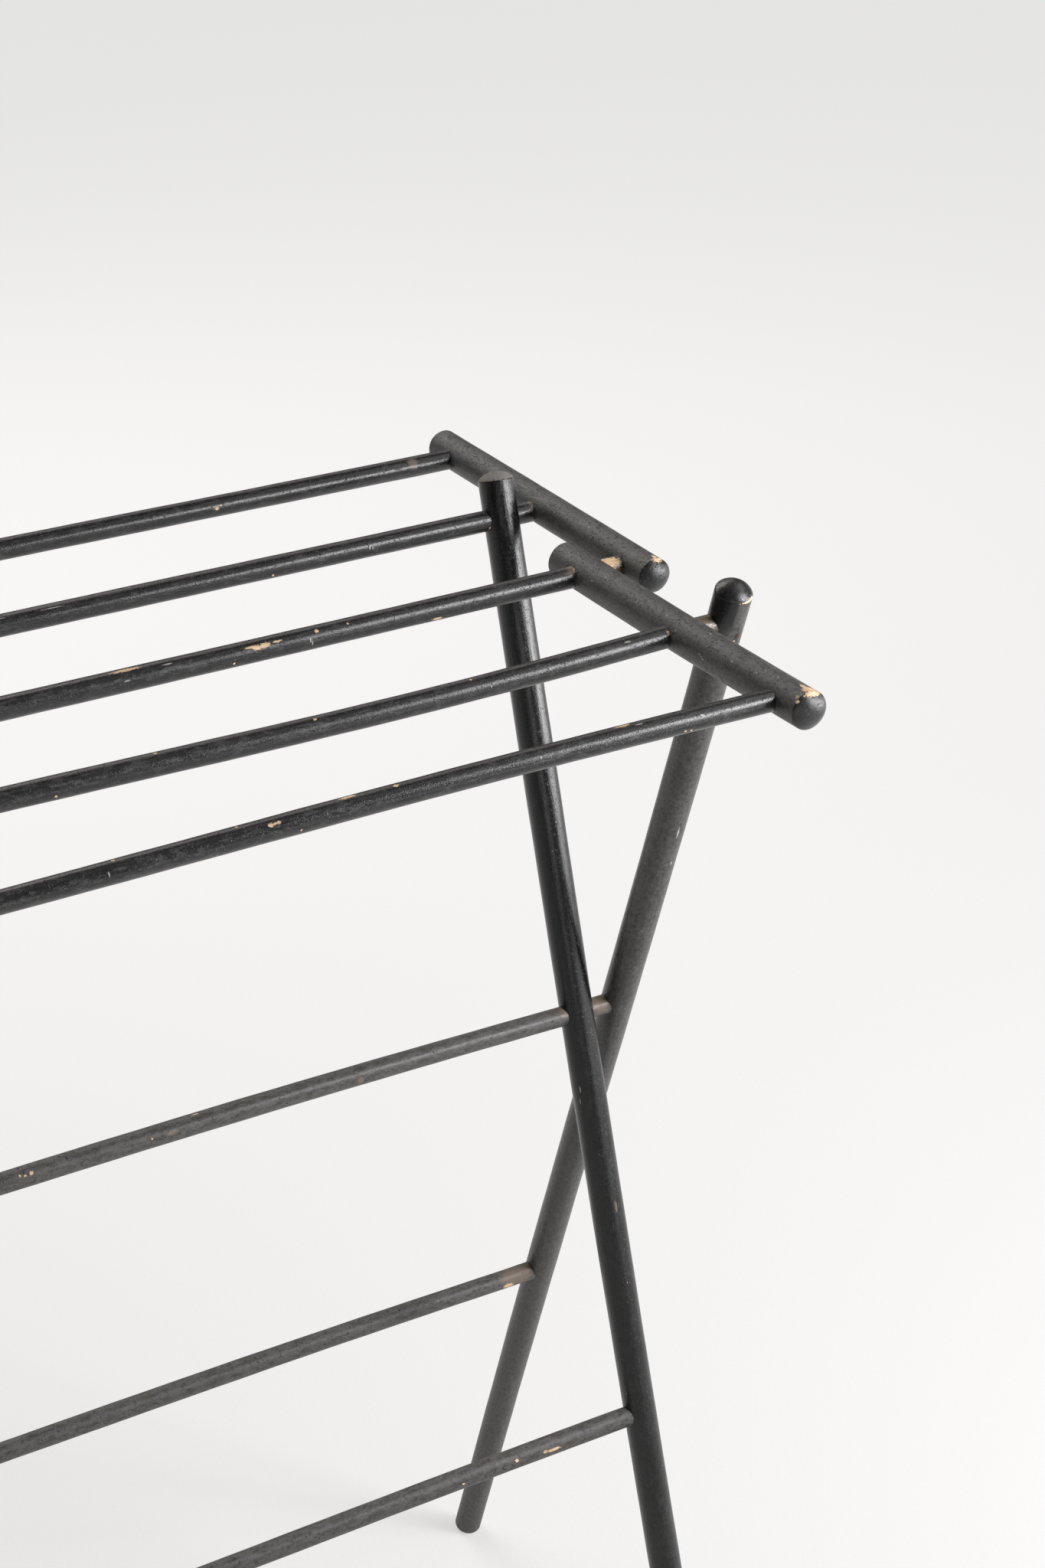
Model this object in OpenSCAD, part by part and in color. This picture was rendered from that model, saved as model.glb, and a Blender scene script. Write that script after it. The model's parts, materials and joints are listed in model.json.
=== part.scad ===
// Free-standing folding rack of round wooden dowels.
// Two pairs of crossed legs share a scissor rod. Two half racks of short rails and long rods
// tie the leg tops together and lie flat in use. Millimetres, +X along the rods, +Y to the
// back, +Z up. The origin is on the floor, under the middle of the open rack.

/* [Dowels] */
// Diameter of the eight long rods
rod_d = 13; // [11:0.5:14]
// Diameter of the four legs
leg_d = 21; // [19:0.5:23]
// Diameter of the four short rails
rail_d = 22; // [20:0.5:23]
// Height of the shallow dome on the dowel ends
dome_h = 4; // [2:0.5:6]

/* [Width] */
// Distance between the inner legs, measured between their axes
inner_span = 600; // [450:10:900]
// Distance between the inner and the outer plane of dowels at each end
plane_gap = 29.5; // [28:0.5:36]

/* [Legs] */
// Scissor rod to the rod at the leg's top, along the leg
leg_top = 315; // [280:5:360]
// What stands above that rod, to the tip of the dome
leg_stub = 27.5; // [22:0.5:32]
// Scissor rod to the tip of the foot, along the leg
leg_foot = 576; // [500:1:620]
// Scissor rod to the stretcher, along the leg
stretcher_drop = 267; // [220:1:320]
// How much of the foot's dome is worn flat
foot_wear = 0.8; // [0.5:0.1:1.5]

/* [Rack] */
// Distance between neighbouring top rods
pitch = 100; // [90:1:110]
// Rail beyond its outer rod, to the tip of the dome
rail_outer_stub = 25; // [18:1:30]
// Rail beyond the middle rod, to the tip of the dome
rail_inner_stub = 28; // [22:1:30]

/* [Joints] */
// Radial clearance of a rod that turns in its bore
running_clearance = 0.05; // [0.01:0.01:0.1]
// Depth of a blind bore, from the near side of the dowel
bore_depth = 15; // [12:0.5:16]
// Distance between the two rods at the leg tops when the rack is folded flat
folded_gap = 26; // [26:0.5:40]
// Share of the fold: 0 stands open, 1 is folded flat
fold = 0; // [0:0.05:1]

/* [Brads] */
// Diameter of a brad's shank
brad_d = 1.4; // [1:0.1:2]
// Diameter of a brad's head
brad_head_d = 3; // [2:0.1:3.5]
// Thickness of a brad's head
brad_head_h = 0.8; // [0.5:0.1:1]
// Length of a brad, head included
brad_len = 15; // [12:0.5:16]
// How far the front brads are driven off the leg's front line, in degrees
front_brad_turn = 12; // [0:1:20]
// How far the front brads sit below their rod, along the leg
front_brad_drop = 2; // [0:0.5:3]

/* [Hidden] */
$fn = 72;
rod_r = rod_d / 2;
leg_r = leg_d / 2;
rail_r = rail_d / 2;
running_r = rod_r + running_clearance;

x_inner = inner_span / 2;
x_outer = x_inner + plane_gap;

lean = asin(pitch / leg_top);
folded_lean = asin(folded_gap / 2 / leg_top);
scissor_travel = 2 * (lean - folded_lean);
rack_travel = acos(folded_gap / 2 / pitch) + lean - folded_lean;

// Lowest point of the leaning foot's dome, below the scissor rod
foot_sphere_r = (pow(leg_r, 2) + pow(dome_h, 2)) / (2 * dome_h);
foot_reach = (leg_foot - foot_sphere_r) * cos(lean) + foot_sphere_r;
z_scissor = foot_reach - foot_wear;
z_top = z_scissor + leg_top * cos(lean);

// The middle rod ends just short of the back rails, where the linkage is opened
open_pivot_gap = 0.3;
end_play = 0.5;
outer_rod_half = x_outer - leg_r + bore_depth - end_play;
back_rod_half = x_outer - rail_r + bore_depth - end_play;
middle_rod_half = x_outer - rail_r - open_pivot_gap;
front_rod_half = x_inner - rail_r + bore_depth - end_play;
inner_rod_half = x_inner - leg_r + bore_depth - end_play;

leg_paint = [0.13, 0.13, 0.14];
rail_paint = [0.17, 0.17, 0.18];
rod_paint = [0.09, 0.09, 0.10];
brad_steel = [0.30, 0.22, 0.17];

// ---- Places ----

// Along an inner leg at one end: the leg's axis is local Z, with 0 at the scissor rod
module on_inner_leg(along = 0) {
    translate([x_inner, 0, z_scissor])
        rotate([-lean, 0, 0])
            translate([0, 0, along])
                children();
}

// Along an outer leg at one end, which leans the other way
module on_outer_leg(along = 0) {
    translate([x_outer, 0, z_scissor])
        rotate([lean, 0, 0])
            translate([0, 0, along])
                children();
}

// On a rail's axis, at a distance in Y from the middle of the rack
module on_rail(x, y) {
    translate([x, y, z_top])
        children();
}

module both_ends() {
    children();
    mirror([1, 0, 0])
        children();
}

// ---- Fold: the inner legs stay where they are, and the rest turns about its own pivot ----

module turned_about(y, z, angle) {
    translate([0, y, z])
        rotate([angle, 0, 0])
            translate([0, -y, -z])
                children();
}

module outer_leg_body() {
    turned_about(0, z_scissor, -fold * scissor_travel)
        children();
}

module back_rack_body() {
    turned_about(pitch, z_top, -fold * rack_travel)
        children();
}

module front_rack_body() {
    outer_leg_body()
        turned_about(-pitch, z_top, fold * rack_travel)
            children();
}

// ---- Shapes ----

// Shallow dome that rises dome_h above z = 0 on a circle of radius r
module dome(r) {
    sphere_r = (r * r + dome_h * dome_h) / (2 * dome_h);
    intersection() {
        translate([0, 0, dome_h - sphere_r])
            sphere(r = sphere_r);
        translate([-r - 1, -r - 1, 0])
            cube([2 * r + 2, 2 * r + 2, dome_h + 1]);
    }
}

// Dowel along Z with a dome on both ends, from low to high, domes included
module domed_dowel(r, low, high) {
    translate([0, 0, low + dome_h])
        cylinder(r = r, h = high - low - 2 * dome_h);
    translate([0, 0, high - dome_h])
        dome(r);
    translate([0, 0, low + dome_h])
        mirror([0, 0, 1])
            dome(r);
}

// Bore along X that goes right through a dowel of radius dowel_r
module through_bore(bore_r, dowel_r) {
    rotate([0, 90, 0])
        cylinder(r = bore_r, h = 2 * dowel_r + 2, center = true);
}

// Blind bore along X, open towards the middle of the rack
module blind_bore(bore_r, dowel_r) {
    translate([-dowel_r - 1, 0, 0])
        rotate([0, 90, 0])
            cylinder(r = bore_r, h = bore_depth + 1);
}

// Straight rod along X, the same length on both sides of the middle
module long_rod(half) {
    rotate([0, 90, 0])
        cylinder(r = rod_r, h = 2 * half, center = true);
}

// Brad driven in along -Z, with its head flush with a dowel of radius dowel_r at the origin
module brad(dowel_r) {
    translate([0, 0, dowel_r - brad_len])
        cylinder(d = brad_d, h = brad_len);
    translate([0, 0, dowel_r - brad_head_h])
        cylinder(d = brad_head_d, h = brad_head_h);
}

// ---- Brads at the right end, each where it holds its rod ----

module brad_stretcher_front() {
    on_inner_leg(-stretcher_drop)
        rotate([-90, 0, 0])
            brad(leg_r);
}

module brad_stretcher_rear() {
    on_outer_leg(-stretcher_drop)
        rotate([-90, 0, 0])
            brad(leg_r);
}

module brad_rod_scissor() {
    on_outer_leg(0)
        rotate([-90, 0, 0])
            brad(leg_r);
}

module brad_rod_front_pivot() {
    on_outer_leg(leg_top - front_brad_drop)
        rotate([0, 0, front_brad_turn])
            rotate([90, 0, 0])
                brad(leg_r);
}

// From below, through a rail
module brad_in_rail(x, y) {
    on_rail(x, y)
        rotate([180, 0, 0])
            brad(rail_r);
}

// ---- Legs and rails at the right end ----

module leg_inner() {
    color(leg_paint)
        difference() {
            on_inner_leg()
                domed_dowel(leg_r, -leg_foot, leg_top + leg_stub);
            on_inner_leg(leg_top)
                through_bore(running_r, leg_r);
            on_inner_leg(0)
                through_bore(running_r, leg_r);
            on_inner_leg(-stretcher_drop)
                blind_bore(rod_r, leg_r);
            brad_stretcher_front();
            below_floor();
        }
}

module leg_outer() {
    color(leg_paint)
        difference() {
            on_outer_leg()
                domed_dowel(leg_r, -leg_foot, leg_top + leg_stub);
            for (along = [leg_top, 0, -stretcher_drop])
                on_outer_leg(along)
                    blind_bore(rod_r, leg_r);
            brad_rod_front_pivot();
            brad_rod_scissor();
            brad_stretcher_rear();
            below_floor();
        }
}

module below_floor() {
    slab_size = 4 * leg_foot;
    translate([-slab_size / 2, -slab_size / 2, -slab_size])
        cube([slab_size, slab_size, slab_size]);
}

// Rail along Y, from y = low to y = high, domes included
module rail(x, low, high) {
    on_rail(x, 0)
        rotate([-90, 0, 0])
            domed_dowel(rail_r, low, high);
}

module rail_back() {
    color(rail_paint)
        difference() {
            rail(x_outer, -rail_inner_stub, 2 * pitch + rail_outer_stub);
            on_rail(x_outer, 0)
                blind_bore(running_r, rail_r);
            for (y = [pitch, 2 * pitch])
                on_rail(x_outer, y)
                    blind_bore(rod_r, rail_r);
            for (y = [pitch, 2 * pitch])
                brad_in_rail(x_outer, y);
        }
}

module rail_front() {
    color(rail_paint)
        difference() {
            rail(x_inner, -2 * pitch - rail_outer_stub, rail_inner_stub);
            on_rail(x_inner, 0)
                through_bore(rod_r, rail_r);
            on_rail(x_inner, -pitch)
                through_bore(running_r, rail_r);
            on_rail(x_inner, -2 * pitch)
                blind_bore(rod_r, rail_r);
            for (y = [0, -2 * pitch])
                brad_in_rail(x_inner, y);
        }
}

// ---- Nodes ----

module leg_inner_right() { leg_inner(); }
module leg_inner_left() { mirror([1, 0, 0]) leg_inner(); }
module leg_outer_right() { outer_leg_body() leg_outer(); }
module leg_outer_left() { outer_leg_body() mirror([1, 0, 0]) leg_outer(); }
module rail_back_right() { back_rack_body() rail_back(); }
module rail_back_left() { back_rack_body() mirror([1, 0, 0]) rail_back(); }
module rail_front_right() { front_rack_body() rail_front(); }
module rail_front_left() { front_rack_body() mirror([1, 0, 0]) rail_front(); }

// A top rod with the brads that hold it cut out
module top_rod(y, half) {
    color(rod_paint)
        difference() {
            on_rail(0, y)
                long_rod(half);
            both_ends()
                children();
        }
}

module rod_back() {
    back_rack_body()
        top_rod(2 * pitch, back_rod_half)
            brad_in_rail(x_outer, 2 * pitch);
}

module rod_back_pivot() {
    back_rack_body()
        top_rod(pitch, back_rod_half)
            brad_in_rail(x_outer, pitch);
}

module rod_middle() {
    front_rack_body()
        top_rod(0, middle_rod_half)
            brad_in_rail(x_inner, 0);
}

module rod_front_pivot() {
    outer_leg_body()
        top_rod(-pitch, outer_rod_half)
            brad_rod_front_pivot();
}

module rod_front() {
    front_rack_body()
        top_rod(-2 * pitch, front_rod_half)
            brad_in_rail(x_inner, -2 * pitch);
}

module rod_scissor() {
    outer_leg_body()
        color(rod_paint)
            difference() {
                translate([0, 0, z_scissor])
                    long_rod(outer_rod_half);
                both_ends()
                    brad_rod_scissor();
            }
}

// A stretcher at y with the brads that hold it cut out
module stretcher(y, half) {
    color(rod_paint)
        difference() {
            translate([0, y, z_scissor - stretcher_drop * cos(lean)])
                long_rod(half);
            both_ends()
                children();
        }
}

module stretcher_front() {
    stretcher(-stretcher_drop * sin(lean), inner_rod_half)
        brad_stretcher_front();
}

module stretcher_rear() {
    outer_leg_body()
        stretcher(stretcher_drop * sin(lean), outer_rod_half)
            brad_stretcher_rear();
}

module brad_pair() {
    color(brad_steel)
        both_ends()
            children();
}

module brads_rod_back() { back_rack_body() brad_pair() brad_in_rail(x_outer, 2 * pitch); }
module brads_rod_back_pivot() { back_rack_body() brad_pair() brad_in_rail(x_outer, pitch); }
module brads_rod_middle() { front_rack_body() brad_pair() brad_in_rail(x_inner, 0); }
module brads_rod_front_pivot() { outer_leg_body() brad_pair() brad_rod_front_pivot(); }
module brads_rod_front() { front_rack_body() brad_pair() brad_in_rail(x_inner, -2 * pitch); }
module brads_rod_scissor() { outer_leg_body() brad_pair() brad_rod_scissor(); }
module brads_stretcher_front() { brad_pair() brad_stretcher_front(); }
module brads_stretcher_rear() { outer_leg_body() brad_pair() brad_stretcher_rear(); }

leg_inner_right();
leg_inner_left();
leg_outer_right();
leg_outer_left();
rail_back_right();
rail_back_left();
rail_front_right();
rail_front_left();
rod_back();
rod_back_pivot();
rod_middle();
rod_front_pivot();
rod_front();
rod_scissor();
stretcher_front();
stretcher_rear();
brads_rod_back();
brads_rod_back_pivot();
brads_rod_middle();
brads_rod_front_pivot();
brads_rod_front();
brads_rod_scissor();
brads_stretcher_front();
brads_stretcher_rear();
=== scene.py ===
"""Looks of the folding dowel rack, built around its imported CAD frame. Metres, +Z up."""

import json
import math

import bmesh
import bpy
import numpy as np
from mathutils import Matrix, Vector


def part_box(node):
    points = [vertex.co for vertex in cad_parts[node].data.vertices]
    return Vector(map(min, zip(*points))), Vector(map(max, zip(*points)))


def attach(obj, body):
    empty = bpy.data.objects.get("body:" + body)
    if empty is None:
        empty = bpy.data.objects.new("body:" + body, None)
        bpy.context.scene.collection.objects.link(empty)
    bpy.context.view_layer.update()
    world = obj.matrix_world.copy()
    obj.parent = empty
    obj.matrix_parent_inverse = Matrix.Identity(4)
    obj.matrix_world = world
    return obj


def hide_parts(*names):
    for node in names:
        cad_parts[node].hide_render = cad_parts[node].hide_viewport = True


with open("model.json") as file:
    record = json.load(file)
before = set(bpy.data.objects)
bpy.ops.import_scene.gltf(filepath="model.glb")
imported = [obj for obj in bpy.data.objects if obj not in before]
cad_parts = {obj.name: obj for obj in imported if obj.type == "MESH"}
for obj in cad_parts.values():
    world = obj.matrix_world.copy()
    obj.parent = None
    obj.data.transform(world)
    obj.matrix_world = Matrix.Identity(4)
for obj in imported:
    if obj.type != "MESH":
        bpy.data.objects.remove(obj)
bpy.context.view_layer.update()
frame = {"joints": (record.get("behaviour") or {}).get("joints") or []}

MM = 0.001

# ---- Places from the frame ----

JOINTS = {j["name"]: Vector(j["pos_m"]) for j in frame["joints"]}
SCISSOR = JOINTS["scissor_pivot"]
BACK_PIVOT = JOINTS["back_rack_pivot"]
# The inner legs' tops lean back by this angle, and the outer legs' tops forward
LEAN = math.atan2(BACK_PIVOT.y - SCISSOR.y, BACK_PIVOT.z - SCISSOR.z)


def middle_of(node):
    """The middle of a CAD node's box."""
    low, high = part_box(node)
    return (low + high) / 2


INNER_X = middle_of("leg_inner_right").x
OUTER_X = middle_of("leg_outer_right").x
LEG_R = (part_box("leg_inner_right")[1].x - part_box("leg_inner_right")[0].x) / 2
RAIL_R = (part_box("rail_front_right")[1].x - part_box("rail_front_right")[0].x) / 2
ROD_R = (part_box("rod_front")[1].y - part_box("rod_front")[0].y) / 2

# The CAD's dome on every leg and rail, and the flat worn on the feet
DOME_H = 4 * MM
FOOT_WEAR = 0.8 * MM


def dome_sphere(radius):
    """Radius of the sphere that the CAD's dome is a cap of."""
    return (radius**2 + DOME_H**2) / (2 * DOME_H)


def leg_reach(height, wear=0.0):
    """Distance along a leg from the scissor rod to the tip of a dome that reaches this height."""
    sphere = dome_sphere(LEG_R)
    return (height + wear - sphere) / math.cos(LEAN) + sphere


LEG_UP = leg_reach(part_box("leg_inner_right")[1].z - SCISSOR.z)
LEG_DOWN = leg_reach(SCISSOR.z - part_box("leg_inner_right")[0].z, FOOT_WEAR)

# Every dowel has a number. It seeds its irregularities and sets its own stretch of the paint's noise.
DOWEL_NAMES = (
    "leg_inner_right", "leg_outer_right", "rail_back_right", "rail_front_right",
    "leg_inner_left", "leg_outer_left", "rail_back_left", "rail_front_left",
    "rod_back", "rod_back_pivot", "rod_middle", "rod_front_pivot", "rod_front",
    "rod_scissor", "stretcher_front", "stretcher_rear",
)
NUMBER = {name: i + 1 for i, name in enumerate(DOWEL_NAMES)}

# ---- Listed wear, and painted shade of hollow places: (along mm, angle in degrees, length mm, width mm) on a dowel ----
# A rod's angle is 0 at its front and 90 on top. A leg's is 0 at +X and -90 at its front.
# A rail's is 180 on the side of -X and -90 on top.

BARE_WOOD = {
    "rod_back": [(155, 10, 2.4, 2), (158, 22, 1.6, 1)],
    "rod_back_pivot": [(141, -22, 1.5, 1.5), (290, -20, 1.6, 1.6)],
    "rod_middle": [
        (0, 80, 17, 2.6), (84, 41, 7, 3), (76, 46, 10, 1.6), (92, 46, 6, 1.4), (79, 36, 6, 2.2),
        (117, 52, 2.4, 2.2), (137, 55, 1.5, 1.3), (194, -30, 7, 1.8), (64, -16, 1.4, 1.4),
        (289, 57, 2.6, 4), (313, 62, 14, 9),
    ],
    "rod_front_pivot": [
        (-30, 90, 2, 2), (-89, -16, 1.6, 1.6), (63, 73, 2, 2), (160, 85, 1.6, 1.4), (287, 44, 2.4, 3),
    ],
    "rod_front": [
        (-17, 48, 3.4, 2.2), (-14.5, 49, 5, 1.4), (-12.5, 50, 2.4, 1.8), (29, 95, 9, 3),
        (56, 83, 3, 2.4), (-34, 94, 2, 2), (-101, 92, 2, 2), (194, 94, 9, 2), (230, -23, 1.6, 1.4),
        (234, -27, 1.6, 1.4), (-1, -14, 1.4, 1.4),
    ],
    "rod_scissor": [
        (-74, 41, 2.6, 2.2), (-78, 36, 1.6, 1.2), (-81, 44, 1.2, 1.8), (2, 24, 1.2, 1), (33, 88, 5, 1),
    ],
    "stretcher_front": [(230, 11, 11, 2), (224, 15, 4, 1.8), (203, 26, 2.6, 2.2), (164, 7, 2, 1.4)],
    "stretcher_rear": [(300, -13, 8, 3.5)],
    "leg_inner_right": [(-560, -60, 5, 2)],
    "leg_outer_right": [(338, -78, 1.4, 9), (338.6, -58, 1.5, 6), (309.5, -88, 1.6, 1.2)],
    "rail_back_right": [(-23.5, -82, 4, 7), (-20, -80, 4, 3), (221.6, -92, 1.6, 8)],
    "rail_front_right": [
        (-221.5, -84, 3.4, 11), (-217.5, -83, 6, 8), (-213, -84, 5, 3), (-221, -139, 2, 2.6),
        (-219, -128, 2.4, 2),
    ],
    "leg_inner_left": [(339, -60, 2, 8), (-212, -120, 5, 2), (96, 30, 3, 2)],
    "leg_outer_left": [(338, 150, 2, 7), (120, -70, 4, 1.6), (-420, -40, 6, 2)],
    "rail_back_left": [(221, -60, 4, 8), (60, -100, 3, 2)],
    "rail_front_left": [(-221, -95, 4, 10), (-216, -90, 5, 5), (25, -80, 3, 5)],
}
# Light scratches that only mark the paint
SCRATCHES = {
    "rod_back_pivot": [(2, 59, 14, 0.7), (-30, 62, 6, 0.7), (206, 17, 1, 2.4), (208, 13, 0.8, 2)],
    "rod_middle": [(112, 16, 0.9, 3), (113, -2, 0.9, 3), (-1, 21, 3.5, 0.8), (24, 57, 7, 1.0)],
    "rod_front_pivot": [(260, 58, 4, 1.2), (236, 34, 3, 0.8), (170, 20, 0.8, 1.6)],
    "rod_front": [(-106, 24, 0.8, 3.5), (203, 74, 5, 0.8), (140, 30, 0.8, 1.6), (241, 40, 2.4, 0.8)],
    "leg_inner_right": [(-55, -156, 4, 0.8), (-47, -149, 5, 0.8)],
    "leg_outer_right": [(157, -89, 9, 1.2), (131, -80, 4, 0.9)],
    "rail_front_right": [
        (-134, -166, 2.6, 0.8), (-136, -170, 2.6, 0.8), (-138, -175, 2.6, 0.8), (-161, -136, 1.6, 1.4),
        (-182, -128, 1.4, 1.2), (-108, -144, 1.4, 1.4), (-130, -95, 2.4, 0.9), (-94, -119, 1.6, 1.2),
        (-66, -131, 1.4, 2), (-70, -128, 1.2, 1), (-30, -120, 1, 1), (-22, -150, 2.2, 0.7),
        (38, -110, 1.2, 0.8), (66, -135, 1, 1), (120, -100, 2.6, 0.7), (171, -140, 1.2, 1),
        (-150, -112, 1, 0.9), (-196, -104, 1.4, 0.8),
    ],
    "rail_back_right": [
        (-14, -140, 1.2, 1.4), (40, -120, 3, 0.8), (14, -110, 1, 0.9), (75, -138, 1.2, 0.8),
        (118, -118, 2, 0.7), (160, -145, 1, 1), (192, -108, 1.4, 0.8),
    ],
    "rail_front_left": [(-90, -60, 2, 0.8), (30, -100, 1.2, 1), (110, -70, 3, 0.7)],
    "rail_back_left": [(0, -80, 2, 0.8), (140, -60, 1.2, 1)],
}
# Painted shade of hollow places that the mesh doesn't have: around the brad heads, and where the wood is
# dented
PAINTED_HOLLOW_SHADE = {
    "leg_outer_right": [
        (313, -79, 6, 5.6), (318, -84, 4.5, 1.4), (308.5, -74, 2.4, 1.4), (0, 90, 4, 4),
        (-267, 90, 4, 4),
    ],
    "leg_outer_left": [(313, -102, 4, 4), (0, 90, 4, 4), (-267, 90, 4, 4)],
    "leg_inner_right": [(-267, 90, 4, 4)],
    "leg_inner_left": [(-267, 90, 4, 4)],
    "rail_back_right": [(200, 90, 4, 4), (100, 90, 4, 4), (-9, -150, 1, 1.2), (150, -165, 1.4, 1)],
    "rail_back_left": [(200, 90, 4, 4), (100, 90, 4, 4)],
    "rail_front_right": [
        (0, 90, 4, 4), (-200, 90, 4, 4), (-104, 165, 1.2, 1), (-58, 170, 1.6, 1), (-31, 168, 1, 1),
    ],
    "rail_front_left": [(0, 90, 4, 4), (-200, 90, 4, 4)],
    "rod_back": [(243, 13, 2, 1.2), (60, 20, 1.4, 1)],
    "rod_front_pivot": [(138, 12, 1.4, 1), (205, -10, 1.2, 1)],
}
# Broad soft zones where the paint is rubbed thin and brown
RUBBED = {
    "rod_back": [(294, 40, 7, 9), (155, 12, 5, 4)],
    "rod_back_pivot": [(322, 50, 6, 14), (290, -30, 3, 5)],
    "rod_middle": [(290, 60, 14, 12), (314, 20, 16, 12)],
    "rod_front_pivot": [(291, 50, 7, 7), (315, 60, 18, 16)],
    "rod_scissor": [(290, 60, 14, 12), (313, 60, 20, 16), (141, 1, 4, 4), (15, 24, 8, 3)],
    "stretcher_rear": [(308, 40, 30, 14)],
    "rail_front_right": [(-96, -180, 14, 8), (4, -178, 12, 8)],
    "rail_back_right": [(104, -176, 10, 7)],
    "leg_inner_right": [(316, 180, 12, 8), (-127, -88, 8, 2)],
}

# ---- Dowel sizes ----

# Radius at the low and the high end of the span that span_of gives, in millimetres
RADII = {
    "leg_inner_right": (10.1, 11.0), "leg_outer_right": (9.4, 11.1),
    "leg_inner_left": (10.3, 10.9), "leg_outer_left": (10.2, 11.0),
    "rail_back_right": (10.7, 10.7), "rail_front_right": (11.4, 11.5),
    "rail_back_left": (10.9, 10.8), "rail_front_left": (11.2, 11.2),
    "rod_back": (6.6, 6.5), "rod_back_pivot": (6.7, 6.5), "rod_middle": (6.7, 6.6),
    "rod_front_pivot": (6.5, 6.5), "rod_front": (6.2, 6.4), "rod_scissor": (6.7, 6.3),
    "stretcher_front": (6.4, 6.5), "stretcher_rear": (6.6, 6.2),
}
# Spacing of the rings along a dowel, and how many points each ring has
LEG_STEP, LEG_SIDES = 3 * MM, 56
RAIL_STEP, RAIL_SIDES = 2 * MM, 60
ROD_STEP, ROD_SIDES = 2 * MM, 40
DOME_RINGS = 14

# The rounding between a dome and the side of its dowel, and the bevel at a rod's end
RIM_BEVEL = 0.35 * MM
ROD_BEVEL = 0.4 * MM

# How far a dowel is out of round, for each number of lobes, and how far its radius wavers, for each wave
LOBES, LOBE_DEPTH = (2, 3, 5), 0.05 * MM
WAVES, WAVE_DEPTH = (9, 23, 61, 140), 0.03 * MM
# Half the length of dowel that a brad head is fitted to
BRAD_REACH = 3 * MM

# ---- Dowel meshes ----


def span_of(name):
    """Where along itself a dowel's two radii are given."""
    if name.startswith("leg"):
        return -LEG_DOWN, LEG_UP
    if name.startswith("rail"):
        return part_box(name)[0].y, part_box(name)[1].y
    return -INNER_X, INNER_X


def radius_near(name, along):
    """A dowel's radius at a distance along it."""
    return float(np.interp(along, span_of(name), np.array(RADII[name]) * MM))


def stations(low, high, step):
    """Evenly spaced places from low to high, both included."""
    return np.linspace(low, high, max(2, round((high - low) / step) + 1))


def dome_profile(radius, height):
    """(depth below the rim's plane, share of the radius) from a dome's tip to just past its rim."""
    sphere = (radius**2 + height**2) / (2 * height)
    half_angle = math.asin((radius - RIM_BEVEL) / sphere)
    angles = np.linspace(0.05 * half_angle, half_angle, DOME_RINGS)
    cap = [(sphere * (1 - math.cos(a)) - height, sphere * math.sin(a) / radius) for a in angles]
    cap.append((0.15 * RIM_BEVEL, 1 - 0.3 * RIM_BEVEL / radius))
    cap.append((0.9 * RIM_BEVEL, 1.0))
    return cap


def domed_profile(low, high, radius, step, domes):
    """(along, share of the radius) of a dowel that has a dome of its own height on each end."""
    low_rim, high_rim = low + DOME_H, high - DOME_H
    start = [(low_rim + d, share) for d, share in dome_profile(radius, domes[0] * MM)]
    end = [(high_rim - d, share) for d, share in reversed(dome_profile(radius, domes[1] * MM))]
    body = stations(low_rim + 2.5 * RIM_BEVEL, high_rim - 2.5 * RIM_BEVEL, step)
    return start + [(t, 1.0) for t in body] + end


def plain_profile(low, high, radius, step):
    """(along, share of the radius) of a rod whose ends are cut square, with a small bevel."""
    body = stations(low + ROD_BEVEL, high - ROD_BEVEL, step)
    end_share = 1 - ROD_BEVEL / radius
    return [(low, end_share)] + [(t, 1.0) for t in body] + [(high, end_share)]


def add_attribute(mesh, name, kind, values):
    attribute = mesh.attributes.new(name, kind, "POINT")
    field = "vector" if kind == "FLOAT_VECTOR" else "value"
    attribute.data.foreach_set(field, np.asarray(values, np.float32).ravel())


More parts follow.
